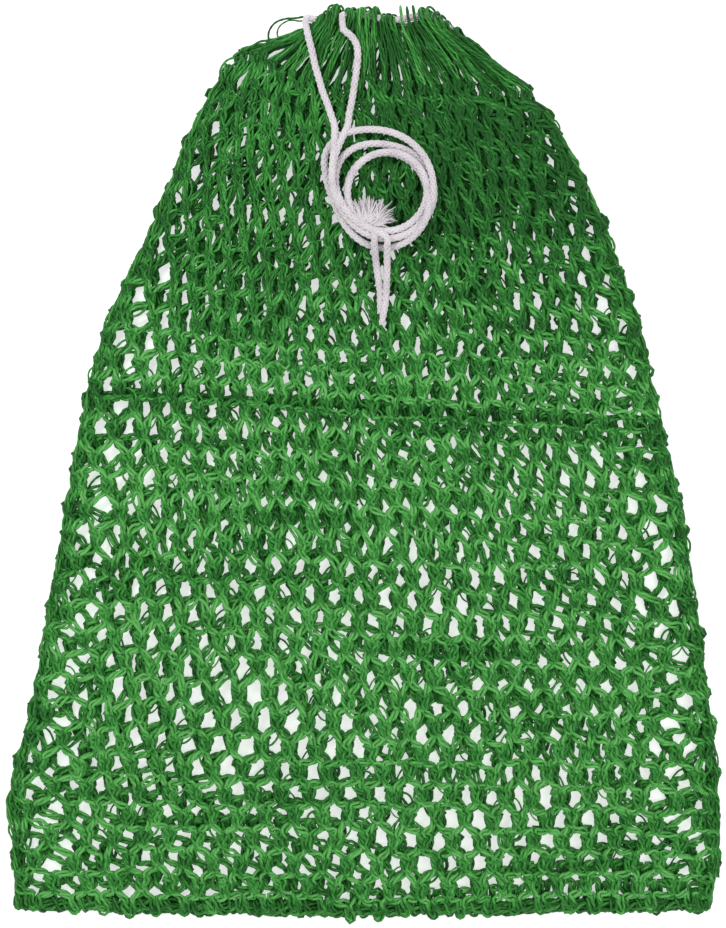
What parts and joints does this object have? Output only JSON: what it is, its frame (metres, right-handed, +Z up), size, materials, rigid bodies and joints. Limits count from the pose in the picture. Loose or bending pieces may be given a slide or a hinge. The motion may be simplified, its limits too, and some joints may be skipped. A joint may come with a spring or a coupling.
{
  "type": "drawstring net bag",
  "caption": "Flat-lying bag of knotted twine netting with a gathered mouth on a drawcord whose ends are wound into a small coil.",
  "frame": {"origin": "centre of the bag's outline on the surface that it lies on", "axes": "+X to the right, +Y towards the mouth, +Z up"},
  "size_m": [0.703, 0.9, 0.0326],
  "materials": {
    "net_twine": "glossy polyethylene fibre twine, mid green",
    "edge_twine": "darker green twine of the seam, hem and side rows",
    "cord": "matte white braided cord"
  },
  "bodies": {
    "net_back": {"back_lower_net": "net_twine", "back_upper_net": "net_twine", "back_waist_twine": "edge_twine", "back_mouth_loops": "net_twine", "bottom_hem_twine": "edge_twine", "left_side_twine": "edge_twine", "right_side_twine": "edge_twine", "drawcord_back_run": "cord"},
    "net_front": {"front_lower_net": "net_twine", "front_upper_net": "net_twine", "front_waist_twine": "edge_twine", "front_mouth_loops": "net_twine", "drawcord_front_run": "cord", "drawcord_left_exit": "cord", "drawcord_right_exit": "cord"},
    "cord_legs": {"drawcord_left_leg": "cord", "drawcord_right_leg": "cord"},
    "cord_coil": {"drawcord_loose_turn": "cord", "drawcord_coil": "cord", "drawcord_knot": "cord", "drawcord_left_tail": "cord", "drawcord_right_tail": "cord"}
  },
  "joints": [
    {"name": "mouth_open", "type": "hinge", "parent": "net_back", "child": "net_front", "pos_m": [0, -0.441, 0.013], "axis": [1, 0, 0], "range_deg": [0, 6]},
    {"name": "drawcord_pull", "type": "slide", "parent": "net_front", "child": "cord_legs", "axis": [0, -1, 0], "range_m": [0, 0.015]},
    {"name": "coil_lift", "type": "hinge", "parent": "cord_legs", "child": "cord_coil", "pos_m": [-0.023, 0.333, 0.0254], "axis": [-1, 0, 0], "range_deg": [0, 90]}
  ]
}
